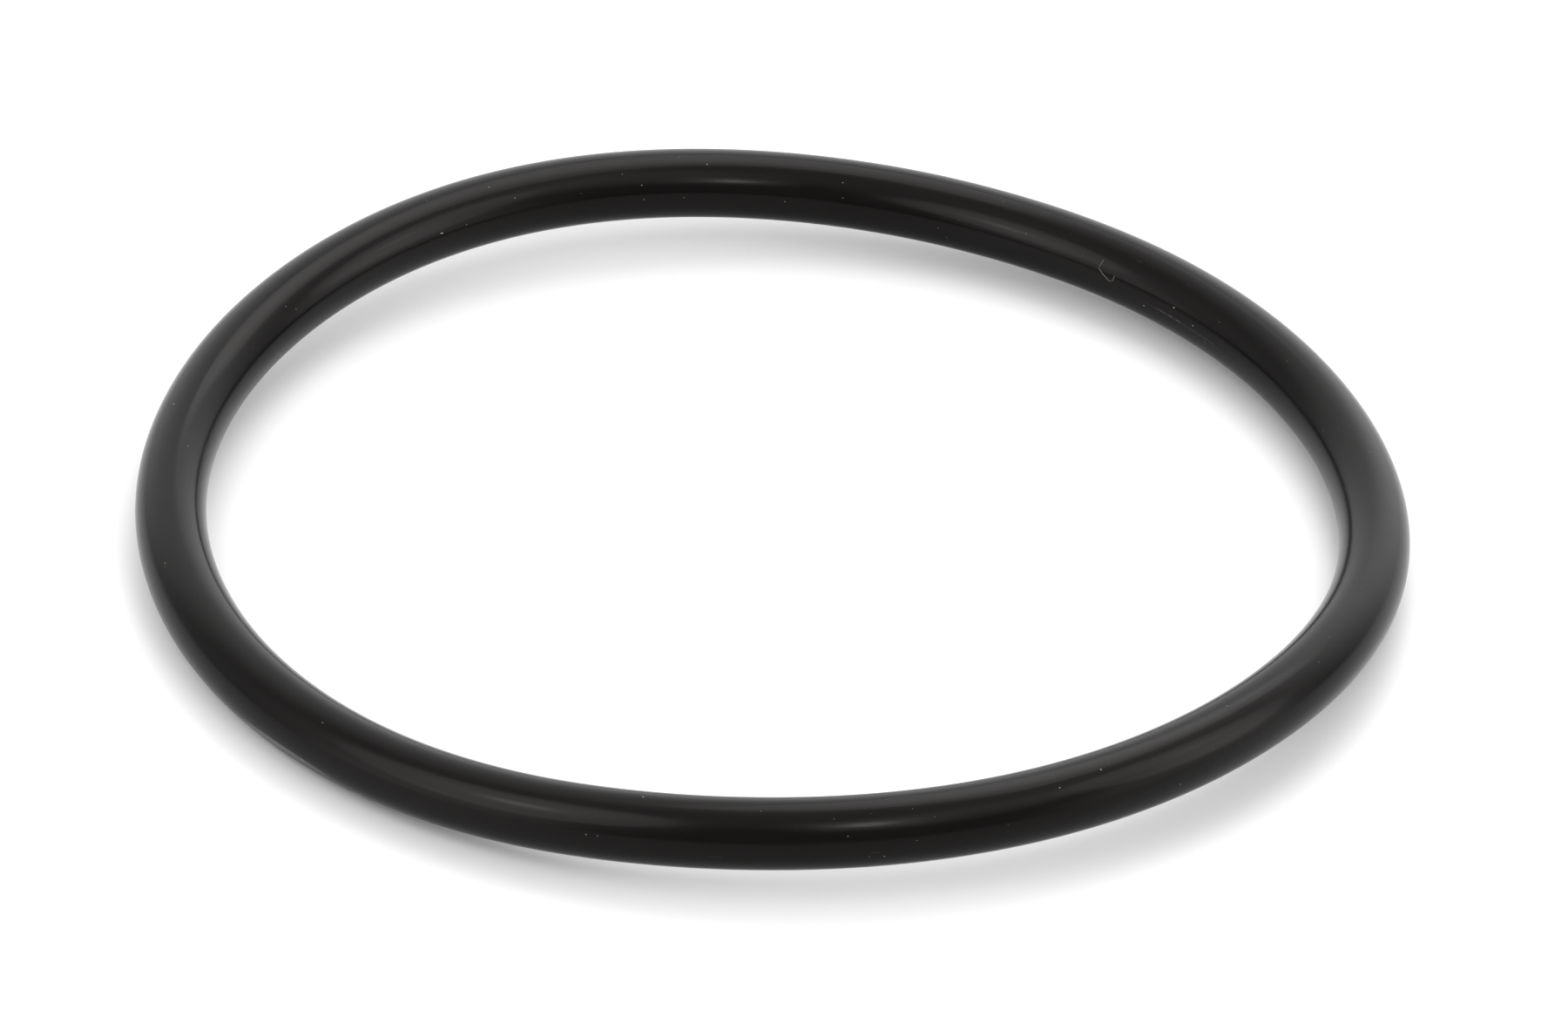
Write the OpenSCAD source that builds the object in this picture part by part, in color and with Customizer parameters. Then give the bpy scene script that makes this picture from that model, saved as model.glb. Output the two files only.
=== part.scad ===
// O-ring seal: one endless ring of solid rubber with a round section, moulded in one piece.
// It lies loose on a flat surface and isn't quite flat. Two opposite sides of the ring arch up
// and the two sides between them sag down to touch the surface, so it rests as a shallow saddle.
// Each side is an arc in a plane of its own, and neighbouring sides meet in line.
// The origin is on the surface, under the middle of the ring.

/* [Seal] */
// Inside diameter of the ring when it is pressed flat
inside_d = 85.1; // [60:0.1:120]
// Diameter of the round section
section_d = 5.33; // [3:0.01:8]

/* [Warp] */
// Tilt of each side's plane out of level
side_tilt = 5; // [0:0.25:12]
// Direction of the raised side at the front right, from +X
raised_direction = -62.5; // [-180:0.5:180]

/* [Mould line] */
// Diameter of the fine round bead that the mould halves leave along the inside and the outside
bead_d = 0.2; // [0.1:0.01:0.4]
// Height of that bead over the section
bead_height = 0.03; // [0.01:0.01:0.09]

/* [Hidden] */

// Facets of a full circle
$fn = 96;

// Radius of the section's centreline when the ring is pressed flat
flat_r = (inside_d + section_d) / 2;

// Half the angle that a side turns through, at which neighbouring sides meet in line
half_sweep = atan(1 / cos(side_tilt));

// Radius of a side's centreline, which keeps the length that the flat ring has
side_r = flat_r * 45 / half_sweep;

// Where two sides meet: the distance from the axis, the slope of the centreline there,
// and how far each side's plane leans about that slope, one to each hand
meeting_r = sqrt(2) * side_r * sin(half_sweep);
meeting_slope = atan(tan(side_tilt) / sqrt(2));
meeting_lean = asin(sin(side_tilt) / sqrt(2));

// Height of a raised side's middle over the points where sides meet, and depth of a resting side's
side_rise = side_r * (1 - cos(half_sweep)) * sin(side_tilt);

// How far a half side is swept past its middle, to be cut there
spare_sweep = 1;

// The moulded section: a round with a bead on its inner and its outer side
module section() {
    circle(d = section_d);
    for (hand = [-1, 1])
        translate([hand * (section_d / 2 + bead_height - bead_d / 2), 0])
            circle(d = bead_d);
}

// Half of a resting side, from the origin to just past the side's middle.
// The section is turned back by the lean, so the bead runs on level into the next side.
module half_side() {
    rotate([0, meeting_lean, 0])
        translate([-side_r, 0, 0])
            rotate_extrude(angle = half_sweep + spare_sweep)
                translate([side_r, 0])
                    rotate(meeting_lean)
                        section();
}

// A quarter of the ring, from the middle of a raised side on +X to the middle of a resting side on +Y
module quarter() {
    reach = inside_d + section_d;
    intersection() {
        rotate([0, 0, 45])
            translate([meeting_r, 0, 0])
                rotate([-meeting_slope, 0, 0]) {
                    half_side();
                    rotate([180, 0, 0]) half_side();
                }
        translate([0, 0, -reach / 2]) cube(reach);
    }
}

module o_ring() {
    color("#2a2929")
        translate([0, 0, side_rise + section_d / 2])
            rotate([0, 0, raised_direction]) {
                quarter();
                mirror([1, 0, 0]) quarter();
                mirror([0, 1, 0]) quarter();
                rotate([0, 0, 180]) quarter();
            }
}

o_ring();
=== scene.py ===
"""Rubber o-ring on a white studio surface: the ring, its lint and dust, and the view and light."""

import math
import random

import bmesh
import bpy
from mathutils import Matrix, Vector, noise
from mathutils.bvhtree import BVHTree


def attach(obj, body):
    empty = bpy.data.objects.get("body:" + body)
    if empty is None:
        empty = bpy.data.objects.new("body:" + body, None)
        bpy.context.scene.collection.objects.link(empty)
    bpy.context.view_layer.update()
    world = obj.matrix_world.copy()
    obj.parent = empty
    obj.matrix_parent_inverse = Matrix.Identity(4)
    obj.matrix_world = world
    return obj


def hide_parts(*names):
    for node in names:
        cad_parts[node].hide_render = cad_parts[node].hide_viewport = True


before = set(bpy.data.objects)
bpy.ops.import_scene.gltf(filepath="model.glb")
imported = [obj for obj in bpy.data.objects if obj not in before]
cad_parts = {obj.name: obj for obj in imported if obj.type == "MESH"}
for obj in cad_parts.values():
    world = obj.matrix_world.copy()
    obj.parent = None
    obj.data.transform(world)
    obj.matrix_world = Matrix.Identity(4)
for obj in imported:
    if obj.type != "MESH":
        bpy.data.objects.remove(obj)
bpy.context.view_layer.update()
scene = bpy.context.scene
scene.view_settings.view_transform = "Standard"

# The o-ring
# One endless ring of black nitrile rubber with a round section, compression moulded in a two-part
# mould. It has taken a slight saddle set: two sides arch up and the two between them touch the surface.

SECTION_RADIUS = 0.00533 / 2
FLAT_RADIUS = (0.0851 + 0.00533) / 2  # to the middle of the section, with the ring pressed flat
SIDE_TILT = math.radians(5)
RAISED_DIRECTION = math.radians(-62.5)

# Each side is an arc in a tilted plane, and neighbouring arcs meet in line. Together they keep the flat
# ring's length.
half_sweep = math.atan(1 / math.cos(SIDE_TILT))
side_radius = FLAT_RADIUS * math.radians(45) / half_sweep
meeting_radius = math.sqrt(2) * side_radius * math.sin(half_sweep)
side_rise = side_radius * (1 - math.cos(half_sweep)) * math.sin(SIDE_TILT)
meeting_height = side_rise + SECTION_RADIUS

SECTION_SEGMENTS = 96
SIDE_STEPS = 90
ring_mesh = bmesh.new()
section_direction = ring_mesh.verts.layers.float_vector.new("section_direction")
bmesh.ops.create_circle(
    ring_mesh,
    segments=SECTION_SEGMENTS,
    radius=SECTION_RADIUS,
    matrix=Matrix.Rotation(math.radians(90), 4, "X"),
)

# The section gets finer edges where the mould line and the trimmed flat will be
MOULD_LINE_CUTS = 5
SIDEMOST = SECTION_RADIUS * 0.9999
by_the_mould_line = [
    edge for edge in ring_mesh.edges if max(abs(v.co.x) for v in edge.verts) > SIDEMOST
]
bmesh.ops.subdivide_edges(ring_mesh, edges=by_the_mould_line, cuts=MOULD_LINE_CUTS)
TRIM_FACES = math.radians(-28)
TRIM_HALF_WIDTH = math.radians(15)
TRIM_CUTS = 2
by_the_trim = [
    edge for edge in ring_mesh.edges
    if all(abs(math.atan2(v.co.z, v.co.x) - TRIM_FACES) < TRIM_HALF_WIDTH * 1.4 for v in edge.verts)
]
bmesh.ops.subdivide_edges(ring_mesh, edges=by_the_trim, cuts=TRIM_CUTS)
for vert in ring_mesh.verts:
    vert.co = vert.co.normalized() * SECTION_RADIUS
    vert[section_direction] = vert.co / SECTION_RADIUS

# Each side is spun on from the end of the last. The section starts where two sides meet, square to
# the slope there, and comes back to the same place after the fourth.
meeting_slope = math.atan(math.tan(SIDE_TILT) / math.sqrt(2))
bmesh.ops.transform(
    ring_mesh,
    matrix=Matrix.Rotation(RAISED_DIRECTION - math.radians(45), 4, "Z")
    @ Matrix.Translation((meeting_radius, 0, meeting_height))
    @ Matrix.Rotation(meeting_slope, 4, "X"),
    verts=ring_mesh.verts,
)
section = ring_mesh.verts[:] + ring_mesh.edges[:]
for side in range(4):
    tilt = SIDE_TILT if side % 2 == 0 else -SIDE_TILT
    heading = Matrix.Rotation(RAISED_DIRECTION + side * math.radians(90), 3, "Z")
    spin_centre = heading @ Vector((
        meeting_radius / math.sqrt(2) - side_radius * math.cos(half_sweep) * math.cos(tilt),
        0,
        meeting_height - side_radius * math.cos(half_sweep) * math.sin(tilt),
    ))
    spun = bmesh.ops.spin(
        ring_mesh,
        geom=section,
        cent=spin_centre,
        axis=heading @ Vector((-math.sin(tilt), 0, math.cos(tilt))),
        angle=2 * half_sweep,
        steps=SIDE_STEPS,
    )
    section = spun["geom_last"]
SEAM_GAP = 0.000001
bmesh.ops.remove_doubles(ring_mesh, verts=ring_mesh.verts, dist=SEAM_GAP)
bmesh.ops.recalc_face_normals(ring_mesh, faces=ring_mesh.faces)

# The flash was torn off and tumbled nearly flush, so the mould line hardly stands out, except for a
# short stretch inside the ring at the back right.
BEAD_RADIUS = 0.0001
TUMBLED_HEIGHT = 0.000004
TUMBLED_UNEVENNESS = 0.8
TUMBLED_DETAIL = 900  # per metre: it comes and goes over about a millimetre
PROUD_HEIGHT = 0.00002
PROUD_UNEVENNESS = 0.5
PROUD_DETAIL = 2500  # per metre: it is ragged over about 0.4 mm
PROUD_AT = math.radians(43.5)
PROUD_REACH = math.radians(12)
ring_mesh.normal_update()
pushes = []
for vert in ring_mesh.verts:
    outward, _, upward = vert[section_direction]
    azimuth = math.atan2(vert.co.y, vert.co.x)
    height = TUMBLED_HEIGHT * (1 + TUMBLED_UNEVENNESS * noise.noise(vert.co * TUMBLED_DETAIL))
    if outward < 0:
        near = max(0, 1 - abs(azimuth - PROUD_AT) / PROUD_REACH)
        height += PROUD_HEIGHT * near * (1 + PROUD_UNEVENNESS * noise.noise(vert.co * PROUD_DETAIL))
    bead_centre = SECTION_RADIUS + height - BEAD_RADIUS
    across = bead_centre * upward
    if abs(across) < BEAD_RADIUS:
        reach = bead_centre * abs(outward) + math.sqrt(BEAD_RADIUS ** 2 - across ** 2)
        if reach > SECTION_RADIUS:
            pushes.append((vert, vert.normal * (reach - SECTION_RADIUS)))
for vert, push in pushes:
    vert.co += push

# Where the flash was thick, at the front left outside, it was trimmed with a blade below the mould line.
# The blade left a narrow flat that follows the ring.
TRIM_AT = math.radians(-138)
TRIM_REACH = math.radians(6.5)
for vert in ring_mesh.verts:
    outward, _, upward = vert[section_direction]
    along = (math.atan2(vert.co.y, vert.co.x) - TRIM_AT) / TRIM_REACH
    off = math.atan2(upward, outward) - TRIM_FACES
    if abs(along) < 1:
        half_width = TRIM_HALF_WIDTH * math.sqrt(1 - along ** 2)
        if abs(off) < half_width:
            vert.co -= vert.normal * SECTION_RADIUS * (1 - math.cos(half_width) / math.cos(off))

# The set isn't quite even: the height also wanders in a few waves round the ring.
SET_WAVES = (
    # waves in a turn, height in metres, degrees round the ring to a crest
    (3, 0.000030, 22),
    (4, 0.000075, 35),
    (5, 0.000140, -26),
)
for vert in ring_mesh.verts:
    azimuth = math.atan2(vert.co.y, vert.co.x)
    for waves, height, crest in SET_WAVES:
        vert.co.z += height * math.cos(waves * (azimuth - math.radians(crest)))
lowest = min(vert.co.z for vert in ring_mesh.verts)
bmesh.ops.translate(ring_mesh, vec=(0, 0, -lowest), verts=ring_mesh.verts)
for face in ring_mesh.faces:
    face.smooth = True

o_ring_data = bpy.data.meshes.new("moulded_ring")
ring_mesh.to_mesh(o_ring_data)
moulded_ring = bpy.data.objects.new("moulded_ring", o_ring_data)
scene.collection.objects.link(moulded_ring)


def linear(hex_colour):
    """The linear colour of an sRGB hex value such as "2a2929"."""
    channels = [int(hex_colour[i:i + 2], 16) / 255 for i in (0, 2, 4)]
    return [c / 12.92 if c <= 0.04045 else ((c + 0.055) / 1.055) ** 2.4 for c in channels] + [1]


def add_node(tree, kind, settings=None, inputs=None):
    """Adds a node. Settings are its own properties, and inputs are values or the sockets they come from."""
    node = tree.nodes.new(kind)
    for name, value in (settings or {}).items():
        setattr(node, name, value)
    for name, value in (inputs or {}).items():
        if isinstance(value, bpy.types.NodeSocket):
            tree.links.new(value, node.inputs[name])
        else:
            node.inputs[name].default_value = value
    return node


# Carbon-filled nitrile rubber, compression moulded and then tumbled: very black under a satin skin.
# The skin mirrors the studio softly. It has a slight orange peel, a haze drawn out along the ring where
# it has been handled, a few light rubs, a bruised stretch of mould line, a cut flat, and fine dust.
rubber = bpy.data.materials.new("black_nitrile_rubber")
rubber.use_nodes = True
tree = rubber.node_tree
shader = tree.nodes["Principled BSDF"]
shader.inputs["IOR"].default_value = 1.5
shader.inputs["Specular IOR Level"].default_value = 0.107
shader.inputs["Specular Tint"].default_value = (1.0, 0.955, 0.94, 1.0)

place = add_node(tree, "ShaderNodeTexCoord").outputs["Object"]
round_section = add_node(
    tree, "ShaderNodeAttribute", {"attribute_name": "section_direction"}
).outputs["Vector"]

# A pattern drawn out along the ring: its length follows the ring's own place, and its width goes
# round the section. The fourth dimension closes the pattern round the section.
section_parts = add_node(tree, "ShaderNodeSeparateXYZ", inputs={"Vector": round_section})
place_parts = add_node(tree, "ShaderNodeSeparateXYZ", inputs={"Vector": place})


def drawn_out(length, width):
    """Inputs of a 4D texture with cells of that length along the ring and that width, in metres."""
    stretch = SECTION_RADIUS * length / width
    across = [
        add_node(
            tree, "ShaderNodeMath", {"operation": "MULTIPLY"}, {0: section_parts.outputs[axis], 1: stretch}
        ).outputs[0]
        for axis in ("X", "Z")
    ]
    vector = add_node(tree, "ShaderNodeCombineXYZ", inputs={
        "X": place_parts.outputs["X"], "Y": place_parts.outputs["Y"], "Z": across[0],
    })
    return {"Vector": vector.outputs["Vector"], "W": across[1], "Scale": 1 / length}


# Haze, in streaks about 9 mm long and 1 mm wide, where the skin is a little rougher and greyer
haze = add_node(
    tree, "ShaderNodeTexNoise", {"noise_dimensions": "4D"},
    {**drawn_out(0.009, 0.0011), "Detail": 3.0, "Roughness": 0.55},
).outputs["Fac"]
haze_roughness = add_node(tree, "ShaderNodeMapRange", inputs={
    "Value": haze, "From Min": 0.3, "From Max": 0.7, "To Min": 0.14, "To Max": 0.22,
}).outputs["Result"]

# The finest dust, up to 0.1 mm across, faint
dust_cells = add_node(
    tree, "ShaderNodeTexVoronoi", {"voronoi_dimensions": "3D", "feature": "F1"},
    {"Vector": place, "Scale": 1 / 0.0009, "Randomness": 1.0},
)
dust_chance = add_node(tree, "ShaderNodeSeparateColor", inputs={"Color": dust_cells.outputs["Color"]})
dust_size = add_node(tree, "ShaderNodeMapRange", inputs={
    "Value": dust_chance.outputs["Red"], "From Min": 0.4, "From Max": 1.0, "To Min": 0.0, "To Max": 0.06,
}).outputs["Result"]
dust = add_node(
    tree, "ShaderNodeMath", {"operation": "LESS_THAN"}, {0: dust_cells.outputs["Distance"], 1: dust_size}
).outputs[0]

# Rubs, up to 1.2 mm long and 0.06 mm wide, along the ring, closer together in patches
rub_cells = add_node(
    tree, "ShaderNodeTexVoronoi", {"voronoi_dimensions": "4D", "feature": "F1"},
    {**drawn_out(0.0040, 0.0002), "Randomness": 1.0},
)
rub_chance = add_node(tree, "ShaderNodeSeparateColor", inputs={"Color": rub_cells.outputs["Color"]})
patches = add_node(tree, "ShaderNodeTexNoise", inputs={"Vector": place, "Scale": 1 / 0.007, "Detail": 1.0})
patchy_chance = add_node(
    tree, "ShaderNodeMath", {"operation": "ADD"}, {0: rub_chance.outputs["Green"], 1: patches.outputs["Fac"]}
).outputs[0]
rub_size = add_node(tree, "ShaderNodeMapRange", inputs={
    "Value": patchy_chance, "From Min": 1.15, "From Max": 1.6, "To Min": 0.0, "To Max": 0.15,
}).outputs["Result"]
rub = add_node(
    tree, "ShaderNodeMath", {"operation": "LESS_THAN"}, {0: rub_cells.outputs["Distance"], 1: rub_size}
).outputs[0]

# The proud stretch of the mould line is bruised lighter in spots
to_proud = add_node(tree, "ShaderNodeVectorMath", {"operation": "DISTANCE"}, {
    0: place,
    1: ((FLAT_RADIUS - SECTION_RADIUS) * math.cos(PROUD_AT),
        (FLAT_RADIUS - SECTION_RADIUS) * math.sin(PROUD_AT),
        SECTION_RADIUS),
}).outputs["Value"]
proud = add_node(tree, "ShaderNodeMapRange", inputs={
    "Value": to_proud, "From Min": 0.0045, "From Max": 0.0015, "To Min": 0.0, "To Max": 1.0,
}).outputs["Result"]
off_line = add_node(
    tree, "ShaderNodeMath", {"operation": "ABSOLUTE"}, {0: section_parts.outputs["Z"]}
).outputs[0]
on_line = add_node(tree, "ShaderNodeMapRange", inputs={
    "Value": off_line, "From Min": 0.035, "From Max": 0.015, "To Min": 0.0, "To Max": 1.0,
}).outputs["Result"]
spots = add_node(tree, "ShaderNodeTexNoise", inputs={"Vector": place, "Scale": 1 / 0.0004, "Detail": 1.0})
spotted = add_node(tree, "ShaderNodeMapRange", inputs={
    "Value": spots.outputs["Fac"], "From Min": 0.45, "From Max": 0.7, "To Min": 0.2, "To Max": 1.0,
}).outputs["Result"]
bruise = add_node(tree, "ShaderNodeMath", {"operation": "MULTIPLY"}, {0: proud, 1: on_line}).outputs[0]
bruise = add_node(tree, "ShaderNodeMath", {"operation": "MULTIPLY"}, {0: bruise, 1: spotted}).outputs[0]

# The cut rubber of the trimmed flat is dull and greyer than the moulded skin
to_trim = add_node(tree, "ShaderNodeVectorMath", {"operation": "DISTANCE"}, {
    0: place,
    1: ((FLAT_RADIUS + SECTION_RADIUS) * math.cos(TRIM_AT),
        (FLAT_RADIUS + SECTION_RADIUS) * math.sin(TRIM_AT),
        SECTION_RADIUS),
}).outputs["Value"]
trim_edge = add_node(tree, "ShaderNodeMapRange", inputs={
    "Value": to_trim, "From Min": 0.0, "From Max": FLAT_RADIUS * TRIM_REACH,
    "To Min": math.cos(TRIM_HALF_WIDTH), "To Max": 1.0,
}).outputs["Result"]
trim_facing = add_node(tree, "ShaderNodeVectorMath", {"operation": "DOT_PRODUCT"}, {
    0: round_section, 1: (math.cos(TRIM_FACES), 0, math.sin(TRIM_FACES)),
}).outputs["Value"]
cut = add_node(
    tree, "ShaderNodeMath", {"operation": "GREATER_THAN"}, {0: trim_facing, 1: trim_edge}
).outputs[0]

# The colours over each other: skin, rubs, bruises, cut rubber, dust. A colour Mix takes them at its
# sockets 6 and 7.
skin = add_node(tree, "ShaderNodeMix", {"data_type": "RGBA"}, {
    0: haze, 6: linear("050404"), 7: linear("0a0908"),
}).outputs[2]
rubbed = add_node(tree, "ShaderNodeMix", {"data_type": "RGBA"}, {
    0: rub, 6: skin, 7: linear("242221"),
}).outputs[2]
bruised = add_node(tree, "ShaderNodeMix", {"data_type": "RGBA"}, {
    0: bruise, 6: rubbed, 7: linear("3a3837"),
}).outputs[2]
speck = add_node(tree, "ShaderNodeMix", {"data_type": "RGBA"}, {
    0: dust_chance.outputs["Green"], 6: linear("2a2928"), 7: linear("6f6c68"),
}).outputs[2]
trimmed = add_node(tree, "ShaderNodeMix", {"data_type": "RGBA"}, {
    0: cut, 6: bruised, 7: linear("2c2a28"),
}).outputs[2]
dusted = add_node(tree, "ShaderNodeMix", {"data_type": "RGBA"}, {0: dust, 6: trimmed, 7: speck}).outputs[2]
dust_roughness = add_node(tree, "ShaderNodeMath", {"operation": "MAXIMUM"}, {0: haze_roughness, 1: dust})

# Orange peel, 2.5 mm from crest to crest and 8 micrometres high, and the mould's fine grind
peel = add_node(tree, "ShaderNodeTexNoise", inputs={"Vector": place, "Scale": 1 / 0.0025, "Detail": 1.0})
peel_bump = add_node(tree, "ShaderNodeBump", inputs={
    "Strength": 1.0, "Distance": 0.000008, "Height": peel.outputs["Fac"],
})
grind = add_node(tree, "ShaderNodeTexNoise", inputs={"Vector": place, "Scale": 1 / 0.0003, "Detail": 2.0})
grind_bump = add_node(tree, "ShaderNodeBump", inputs={
    "Strength": 1.0, "Distance": 0.0000008, "Height": grind.outputs["Fac"],
    "Normal": peel_bump.outputs["Normal"],
})
tree.links.new(dusted, shader.inputs["Base Color"])
tree.links.new(dust_roughness.outputs[0], shader.inputs["Roughness"])
tree.links.new(grind_bump.outputs["Normal"], shader.inputs["Normal"])
o_ring_data.materials.append(rubber)

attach(moulded_ring, "root")
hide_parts("o_ring")

# The lint
# One short bent polyester fibre, spun for cloth, has settled on the inside of the ring at the back right,
# and clings there by static.
LINT_RADIUS = 0.000017
LINT_BENDS = (
    # degrees round the ring, degrees round its section from outward over up
    (55.0, 143), (55.2, 154), (55.2, 159), (54.6, 165), (53.7, 172), (53.3, 169), (53.2, 160),
)
OFF_THE_RING = 0.1
OFF_THE_SECTION = 0.02

ring_surface = BVHTree.FromBMesh(ring_mesh)
ring_mesh.free()


def over_ring(azimuth, section_angle, height):
    """A point at that height over the rubber, at those degrees round the ring and round its section."""
    outward = Vector((math.cos(math.radians(azimuth)), math.sin(math.radians(azimuth)), 0))
    up = Vector((0, 0, 1))
    away = outward * math.cos(math.radians(section_angle)) + up * math.sin(math.radians(section_angle))
    top = ring_surface.ray_cast(outward * FLAT_RADIUS + up * OFF_THE_RING, -up)[0]
    underside = ring_surface.ray_cast(outward * FLAT_RADIUS - up * OFF_THE_RING, up)[0]
    middle = (top + underside) / 2
    hit, normal, _, _ = ring_surface.ray_cast(middle + away * OFF_THE_SECTION, -away)
    return hit + normal * height


bends = [over_ring(azimuth, angle, LINT_RADIUS) for azimuth, angle in LINT_BENDS]

# The fibre is a round end drawn from bend to bend
lint_mesh = bmesh.new()
bmesh.ops.create_circle(lint_mesh, cap_ends=True, segments=8, radius=LINT_RADIUS)
front = lint_mesh.edges[:]
placed = Matrix.Identity(4)
for number, bend in enumerate(bends):
    along = bends[min(number + 1, len(bends) - 1)] - bends[max(number - 1, 0)]
    turned = along.to_track_quat("Z", "Y").to_matrix().to_4x4()
    there = Matrix.Translation(bend) @ turned
    if number > 0:
        front = [
            e for e in bmesh.ops.extrude_edge_only(lint_mesh, edges=front)["geom"]
            if isinstance(e, bmesh.types.BMEdge) and e.is_boundary
        ]
    verts = list({v for e in front for v in e.verts})
    bmesh.ops.transform(lint_mesh, matrix=there @ placed.inverted(), verts=verts)
    placed = there
bmesh.ops.contextual_create(lint_mesh, geom=front)
bmesh.ops.recalc_face_normals(lint_mesh, faces=lint_mesh.faces)
for face in lint_mesh.faces:
    face.smooth = len(face.verts) == 4
lint_data = bpy.data.meshes.new("lint_fibre")
lint_mesh.to_mesh(lint_data)
lint_mesh.free()
lint_fibre = bpy.data.objects.new("lint_fibre", lint_data)
scene.collection.objects.link(lint_fibre)

# Grey polyester fibre: smooth and a little translucent, so it catches the light along its length
polyester = bpy.data.materials.new("grey_polyester_fibre")
polyester.use_nodes = True
tree = polyester.node_tree
fibre_shader = tree.nodes["Principled BSDF"]
fibre_place = add_node(tree, "ShaderNodeTexCoord").outputs["Object"]
fibre_tone = add_node(tree, "ShaderNodeTexNoise", inputs={"Vector": fibre_place, "Scale": 1 / 0.0003})
fibre_colour = add_node(tree, "ShaderNodeMix", {"data_type": "RGBA"}, {
    0: fibre_tone.outputs["Fac"], 6: linear("444240"), 7: linear("787571"),
})
tree.links.new(fibre_colour.outputs[2], fibre_shader.inputs["Base Color"])
fibre_shader.inputs["Roughness"].default_value = 0.4
fibre_shader.inputs["IOR"].default_value = 1.57
lint_data.materials.append(polyester)
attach(lint_fibre, "root")

# The dust
# Loose specks of pale house dust have settled on the ring and cling to it. The largest lie where the
# photograph shows them, and finer ones are scattered between them.
LARGE_SPECKS = (
    # degrees round the ring, degrees round its section, width in millimetres
    (128, 159, 0.16), (121, 110, 0.09), (105, 150, 0.09), (98, 117, 0.09), (90, 174, 0.09), (52, 84, 0.12),
    (45, 161, 0.14), (42, 171, 0.11), (49, 186, 0.10), (40, 186, 0.10), (150, 129, 0.08), (170, 69, 0.10),
    (225, -18, 0.14), (226, 60, 0.08), (259, 90, 0.11), (302, 66, 0.13), (318, 85, 0.09),
)
SMALL_SPECKS = 40
SPECK_LUMPS = 0.9
SPECK_FLATNESS = (1.3, 0.8, 0.6, 1)
SPECK_STANDS = 0.3  # of its radius, over the rubber
SPECK_TURNS = 7  # degrees for each degree round the ring, so that no two lie alike
scatter = random.Random(5)
specks = list(LARGE_SPECKS)
for _ in range(SMALL_SPECKS):
    specks.append((scatter.uniform(0, 360), scatter.uniform(-10, 190), scatter.uniform(0.035, 0.065)))
dust_mesh = bmesh.new()
for azimuth, section_angle, width in specks:
    radius = width / 2000
    speck_verts = bmesh.ops.create_icosphere(dust_mesh, subdivisions=2, radius=radius)["verts"]
    for vert in speck_verts:
        vert.co *= 1 + SPECK_LUMPS * noise.noise(Vector((azimuth, section_angle, 0)) + vert.co / radius)
    turn = Matrix.Rotation(math.radians(azimuth * SPECK_TURNS), 4, "Z")
    there = Matrix.Translation(over_ring(azimuth, section_angle, radius * SPECK_STANDS))
    flattened = there @ turn @ Matrix.Diagonal(SPECK_FLATNESS)
    bmesh.ops.transform(dust_mesh, matrix=flattened, verts=speck_verts)
for face in dust_mesh.faces:
    face.smooth = True
dust_data = bpy.data.meshes.new("dust_specks")
dust_mesh.to_mesh(dust_data)
dust_mesh.free()
dust_specks = bpy.data.objects.new("dust_specks", dust_data)
scene.collection.objects.link(dust_specks)

# House dust: skin and paper crumbs, dull and pale grey, some darker than others
dust_material = bpy.data.materials.new("pale_house_dust")
dust_material.use_nodes = True
tree = dust_material.node_tree
dust_shader = tree.nodes["Principled BSDF"]
dust_place = add_node(tree, "ShaderNodeTexCoord").outputs["Object"]
dust_tone = add_node(tree, "ShaderNodeTexNoise", inputs={
    "Vector": dust_place, "Scale": 1 / 0.004, "Detail": 2.0,
})
dust_colour = add_node(tree, "ShaderNodeMix", {"data_type": "RGBA"}, {
    0: dust_tone.outputs["Fac"], 6: linear("454340"), 7: linear("8f8a83"),
})
tree.links.new(dust_colour.outputs[2], dust_shader.inputs["Base Color"])
dust_shader.inputs["Roughness"].default_value = 0.9
dust_data.materials.append(dust_material)
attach(dust_specks, "root")

# The surface
# A sheet of satin white acrylic, cast flat. The ring lies loose on it, and it is large enough to fill
# every view.
FLOOR_REACH = 3
floor_mesh = bmesh.new()
bmesh.ops.create_grid(floor_mesh, x_segments=1, y_segments=1, size=FLOOR_REACH)
floor_data = bpy.data.meshes.new("white_surface")
floor_mesh.to_mesh(floor_data)
floor_mesh.free()
white_surface = bpy.data.objects.new("white_surface", floor_data)
scene.collection.objects.link(white_surface)
acrylic = bpy.data.materials.new("satin_white_acrylic")
acrylic.use_nodes = True
acrylic_shader = acrylic.node_tree.nodes["Principled BSDF"]
acrylic_shader.inputs["Base Color"].default_value = (0.64, 0.64, 0.64, 1)
acrylic_shader.inputs["Roughness"].default_value = 0.4
floor_data.materials.append(acrylic)

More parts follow.
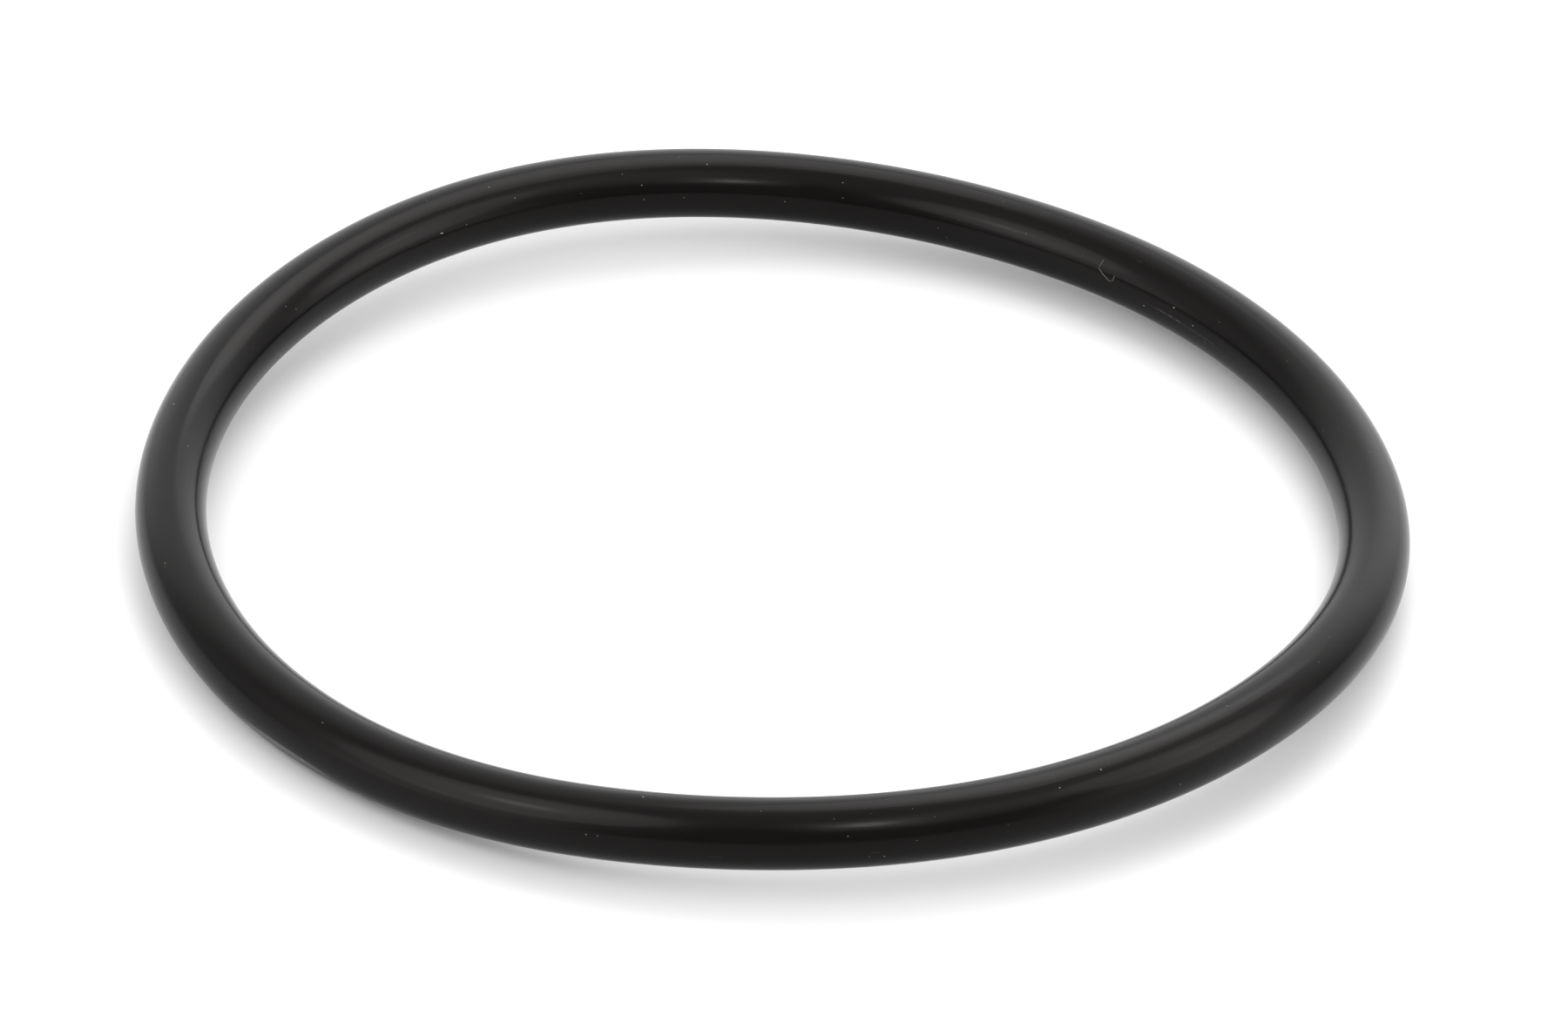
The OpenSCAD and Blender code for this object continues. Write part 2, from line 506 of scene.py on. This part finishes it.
# The light
# A plain studio: a soft light on each side of the ring, brighter in its middle, a strong one high behind it,
# and a small lamp over the camera. The room is dim in front, so the satin rubber keeps its dark bands.
SOFT_LIGHTS = {
    # shape, azimuth from the camera's side to the right, elevation, distance, width, height, radiance
    "left_softbox": ("ELLIPSE", -50, 37, 0.22, 0.200, 0.195, 2.0),
    "left_softbox_middle": ("ELLIPSE", -49, 39, 0.22, 0.110, 0.120, 0.7),
    "left_softbox_lamp": ("ELLIPSE", -48, 37, 0.22, 0.035, 0.035, 5.0),
    "right_softbox": ("ELLIPSE", 82, 33, 0.50, 0.345, 0.430, 1.9),
    "right_softbox_middle": ("ELLIPSE", 85, 33, 0.50, 0.200, 0.260, 0.7),
    "right_softbox_lamp": ("ELLIPSE", 86, 36, 0.50, 0.080, 0.080, 1.5),
    "back_light": ("RECTANGLE", 157, 58, 0.45, 0.270, 0.320, 1.9),
    "back_light_middle": ("ELLIPSE", 158, 55, 0.45, 0.150, 0.220, 0.9),
    "camera_lamp": ("ELLIPSE", 18, 44, 0.28, 0.028, 0.052, 11.0),
    "camera_lamp_edge": ("RECTANGLE", 19, 44, 0.28, 0.085, 0.120, 1.0),
}
for name, (shape, azimuth, elevation, distance, width, height, radiance) in SOFT_LIGHTS.items():
    panel = bpy.data.lights.new(name, "AREA")
    panel.shape = shape
    panel.size = width
    panel.size_y = height
    panel.energy = math.pi * width * height * radiance * (math.pi / 4 if shape == "ELLIPSE" else 1)
    lamp = bpy.data.objects.new(name, panel)
    scene.collection.objects.link(lamp)
    aim = (
        Matrix.Rotation(math.radians(azimuth), 4, "Z")
        @ Matrix.Rotation(math.radians(90 - elevation), 4, "X")
    )
    from_the_ring = aim @ Matrix.Translation((0, 0, distance))
    lamp.matrix_world = Matrix.Translation((0, 0, meeting_height)) @ from_the_ring
    lamp.visible_camera = False

# The room gives the rest: an even level, and wide glows from the ceiling, the backdrop and the sides, which
# fade out evenly
ROOM_LEVEL = 0.5
ROOM_GLOWS = {
    # azimuth as above, elevation, reach in degrees, radiance
    "ceiling": (60, 80, 50, 0.7),
    "backdrop": (-178, 32, 60, 1.4),
    "backdrop_right": (146, 18, 38, 0.7),
    "front_right": (38, 50, 26, 0.8),
    "left": (-66, 30, 50, 0.9),
    "right": (96, 38, 42, 0.7),
    "left_low": (-58, 4, 32, 1.2),
    "left_back_low": (-124, 6, 34, 0.25),
    "right_low": (76, 4, 34, 1.5),
}
room = bpy.data.worlds.new("studio_room")
scene.world = room
room.use_nodes = True
tree = room.node_tree
direction = add_node(tree, "ShaderNodeTexCoord").outputs["Object"]
level = add_node(tree, "ShaderNodeValue").outputs[0]
level.default_value = ROOM_LEVEL
for azimuth, elevation, reach, radiance in ROOM_GLOWS.values():
    azimuth, elevation, reach = math.radians(azimuth), math.radians(elevation), math.radians(reach)
    towards = add_node(tree, "ShaderNodeVectorMath", {"operation": "DOT_PRODUCT"}, {0: direction, 1: (
        math.sin(azimuth) * math.cos(elevation),
        -math.cos(azimuth) * math.cos(elevation),
        math.sin(elevation),
    )}).outputs["Value"]
    glow = add_node(tree, "ShaderNodeMapRange", {"interpolation_type": "SMOOTHSTEP"}, {
        "Value": towards, "From Min": math.cos(reach), "From Max": 1.0, "To Min": 0.0, "To Max": radiance,
    }).outputs["Result"]
    level = add_node(tree, "ShaderNodeMath", {"operation": "ADD"}, {0: level, 1: glow}).outputs[0]
tree.links.new(level, tree.nodes["Background"].inputs["Strength"])
tree.nodes["Background"].inputs["Color"].default_value = (1, 1, 1, 1)

# The camera
# It stands well back on a tripod with a long lens and looks down at the ring from the front. It leans a
# little, and the ring is a little off the middle of its view.
ELEVATION = math.radians(32.65)
ROLL = math.radians(2.11)
DISTANCE = 25 * FLAT_RADIUS
SHIFT_RIGHT = 0.0177 * FLAT_RADIUS
SHIFT_UP = 0.0025 * FLAT_RADIUS
FRAME_WIDTH = 36
LENS_LENGTH = 345.8

camera_data = bpy.data.cameras.new("camera")
camera_data.sensor_width = FRAME_WIDTH
camera_data.lens = LENS_LENGTH
camera_data.clip_end = 20
camera = bpy.data.objects.new("camera", camera_data)
scene.collection.objects.link(camera)
turn = Matrix.Rotation(math.radians(90) - ELEVATION, 4, "X") @ Matrix.Rotation(ROLL, 4, "Z")
camera.matrix_world = (
    Matrix.Translation((0, 0, meeting_height))
    @ turn
    @ Matrix.Translation((SHIFT_RIGHT, SHIFT_UP, DISTANCE))
)
scene.camera = camera
